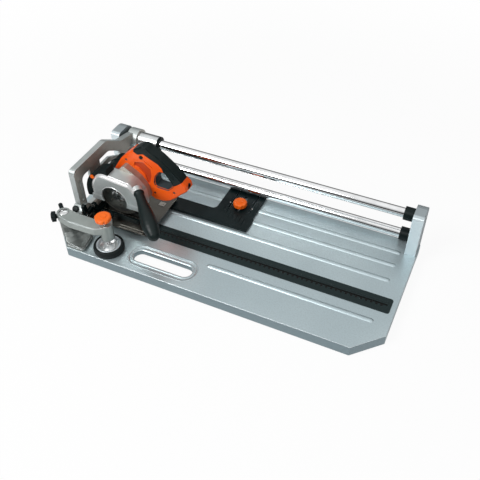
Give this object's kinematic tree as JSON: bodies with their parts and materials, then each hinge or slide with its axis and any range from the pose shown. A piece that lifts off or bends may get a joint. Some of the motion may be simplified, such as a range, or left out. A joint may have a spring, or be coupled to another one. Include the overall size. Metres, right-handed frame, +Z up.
{
  "type": "tile cutter",
  "caption": "Rail-guided tile cutter: a pressed silver table, twin chromed rails, a gantry carriage with a small plunging disc saw, a rip fence and a swing-arm clamp.",
  "frame": {"origin": "middle of the footprint, on the ground under the rubber feet", "axes": "+X along the rails from the parked carriage to the far bracket, +Y from the front edge to the rails, +Z up"},
  "size_m": [0.86, 0.3975, 0.2534],
  "materials": {
    "pressed_sheet": "satin silver paint on pressed sheet, fine grain",
    "cast_silver": "silver painted die casting, slightly rough",
    "machined": "turned and lightly brushed",
    "chrome": "polished chrome",
    "steel": "zinc plated steel, brushed",
    "disc_steel": "ground steel with a sintered rim",
    "black_plastic": "moulded black plastic, fine texture",
    "black_rubber": "soft black rubber",
    "orange_plastic": "glossy orange moulding",
    "white_plastic": "white nylon",
    "blackened": "black powder coat",
    "gear_case": "bare die cast aluminium",
    "spring_steel": "oiled spring wire"
  },
  "bodies": {
    "base": {"table_top": "pressed_sheet", "kerf_insert": "black_plastic", "rubber_feet": "black_rubber", "left_bracket": "cast_silver", "right_bracket": "cast_silver", "upper_rail": "chrome", "lower_rail": "chrome", "rail_buffers": "black_rubber", "bracket_screws": "steel", "clamp_base": "cast_silver", "pivot_bolt": "steel", "fence_stud": "steel"},
    "fence": {"fence_plate": "blackened"},
    "fence_knob": {"fence_knob": "orange_plastic"},
    "clamp_arm": {"clamp_arm": "cast_silver"},
    "star_knob": {"star_knob": "black_plastic"},
    "lock_grip": {"lock_grip": "black_plastic"},
    "clamp_pad": {"pad_dish": "steel", "pad_ring": "white_plastic", "pad_tyre": "black_rubber"},
    "clamp_spindle": {"clamp_screw": "steel", "clamp_knob": "orange_plastic"},
    "carriage": {"gantry_frame": "cast_silver", "carriage_sleeve": "machined", "sleeve_bushings": "white_plastic", "wiper_ring": "black_rubber", "rail_fork": "black_plastic", "roller_pin": "steel", "sole_plate": "machined", "sole_bolts": "steel", "sole_clip": "steel", "hinge_bracket": "blackened", "plunge_pin": "steel", "plunge_spring": "spring_steel", "blade_skirt": "black_plastic", "depth_post": "steel"},
    "foot_roller": {"foot_roller": "white_plastic"},
    "park_knob": {"park_knob": "black_plastic"},
    "lock_lever": {"lock_lever": "black_plastic"},
    "depth_knob": {"depth_knob": "black_plastic"},
    "saw": {"upper_guard": "cast_silver", "gear_housing": "gear_case", "motor_drum": "black_plastic", "housing_front": "orange_plastic", "housing_rear": "orange_plastic", "grip_cover": "black_rubber", "aux_handle": "black_plastic", "dust_chute": "black_plastic", "chute_cap": "orange_plastic", "cable_inlet": "black_rubber", "housing_screws": "steel"},
    "trigger": {"trigger": "black_plastic"},
    "lock_button": {"lock_button": "black_plastic"},
    "blade": {"arbor_shaft": "steel", "inner_flange": "steel", "cutting_disc": "disc_steel", "outer_flange": "steel", "arbor_bolt": "steel"}
  },
  "joints": [
    {"name": "carriage_slide", "type": "slide", "parent": "base", "child": "carriage", "axis": [1, 0, 0], "range_m": [0, 0.672]},
    {"name": "foot_roller_spin", "type": "hinge", "parent": "carriage", "child": "foot_roller", "pos_m": [-0.385, -0.091, 0.04], "axis": [0, 1, 0], "continuous": true},
    {"name": "park_pull", "type": "slide", "parent": "carriage", "child": "park_knob", "axis": [0, -0.7071, 0.7071], "range_m": [0, 0.004], "stiffness_N_per_m": 400, "springref_m": -0.002},
    {"name": "lock_lever_turn", "type": "hinge", "parent": "carriage", "child": "lock_lever", "pos_m": [-0.367, -0.1, 0.061], "axis": [1, 0, 0], "range_deg": [0, 40]},
    {"name": "depth_knob_turn", "type": "hinge", "parent": "carriage", "child": "depth_knob", "pos_m": [-0.304, -0.084, 0.07], "axis": [0, 0, 1], "continuous": true},
    {"name": "saw_plunge", "type": "hinge", "parent": "carriage", "child": "saw", "pos_m": [-0.37, -0.037, 0.062], "axis": [0, 1, 0], "range_deg": [0, 17], "stiffness_Nm_per_rad": 8, "springref_deg": -22.92, "deforming": ["plunge_spring"]},
    {"name": "blade_spin", "type": "hinge", "parent": "saw", "child": "blade", "pos_m": [-0.293, -0.048, 0.114], "axis": [0, 1, 0], "continuous": true},
    {"name": "trigger_pull", "type": "slide", "parent": "saw", "child": "trigger", "axis": [0.8212, 0, 0.5707], "range_m": [0, 0.004], "stiffness_N_per_m": 500, "springref_m": -0.002},
    {"name": "lock_press", "type": "slide", "parent": "saw", "child": "lock_button", "axis": [0, 1, 0], "range_m": [0, 0.002], "stiffness_N_per_m": 400, "springref_m": -0.001},
    {"name": "fence_slide", "type": "slide", "parent": "base", "child": "fence", "axis": [0, 1, 0], "range_m": [-0.038, 0.014]},
    {"name": "fence_knob_turn", "type": "hinge", "parent": "base", "child": "fence_knob", "pos_m": [-0.034, 0.113, 0.045], "axis": [0, 0, 1], "continuous": true},
    {"name": "clamp_swing", "type": "hinge", "parent": "base", "child": "clamp_arm", "pos_m": [-0.3845, -0.157, 0.1], "axis": [0, 0, 1], "range_deg": [-50, 8]},
    {"name": "star_knob_turn", "type": "hinge", "parent": "clamp_arm", "child": "star_knob", "pos_m": [-0.3845, -0.157, 0.1], "axis": [-0.809, -0.5878, 0], "continuous": true},
    {"name": "lock_grip_turn", "type": "hinge", "parent": "clamp_arm", "child": "lock_grip", "pos_m": [-0.3845, -0.157, 0.1], "axis": [-0.7547, 0.6561, 0], "continuous": true},
    {"name": "clamp_lift", "type": "slide", "parent": "clamp_arm", "child": "clamp_pad", "axis": [0, 0, 1], "range_m": [0, 0.012]},
    {"name": "clamp_screw_turn", "type": "hinge", "parent": "clamp_pad", "child": "clamp_spindle", "pos_m": [-0.2665, -0.155, 0.1], "axis": [0, 0, 1], "range_deg": [0, 2160]}
  ],
  "couplings": [
    {"joint": "foot_roller_spin", "follows": "carriage_slide", "rad_per_m": 103.09},
    {"joint": "clamp_screw_turn", "follows": "clamp_lift", "rad_per_m": 3141.5}
  ]
}
